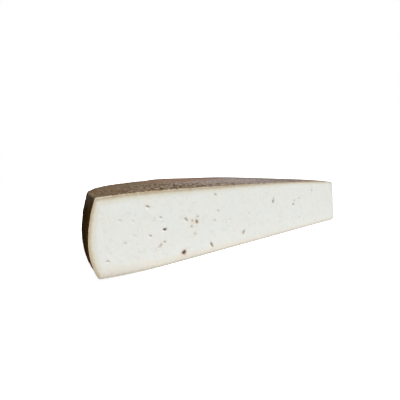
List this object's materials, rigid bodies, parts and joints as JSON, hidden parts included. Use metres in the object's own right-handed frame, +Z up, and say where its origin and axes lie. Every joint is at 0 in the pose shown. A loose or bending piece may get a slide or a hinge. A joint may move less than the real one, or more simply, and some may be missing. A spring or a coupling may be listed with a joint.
{
  "type": "goat cheese wedge",
  "caption": "Wedge of goat tomme cheese with a pale, close paste, small eyes in its cuts and a mottled brown rind over top, underside and bulging heel.",
  "frame": {"origin": "middle of the wedge's outer box, on the surface that the wedge lies on", "axes": "+Z up; the front cut faces -Y, the heel of the wheel is at -X and the thin end at +X"},
  "size_m": [0.1798, 0.1558, 0.0408],
  "materials": {
    "paste": "matte off-white cheese, faintly moist, cream to tan under the rind",
    "rind": "dry, dull brown natural rind with a grey velvety bloom"
  },
  "bodies": {
    "root": {"tomme_wedge": "paste"}
  },
  "joints": []
}
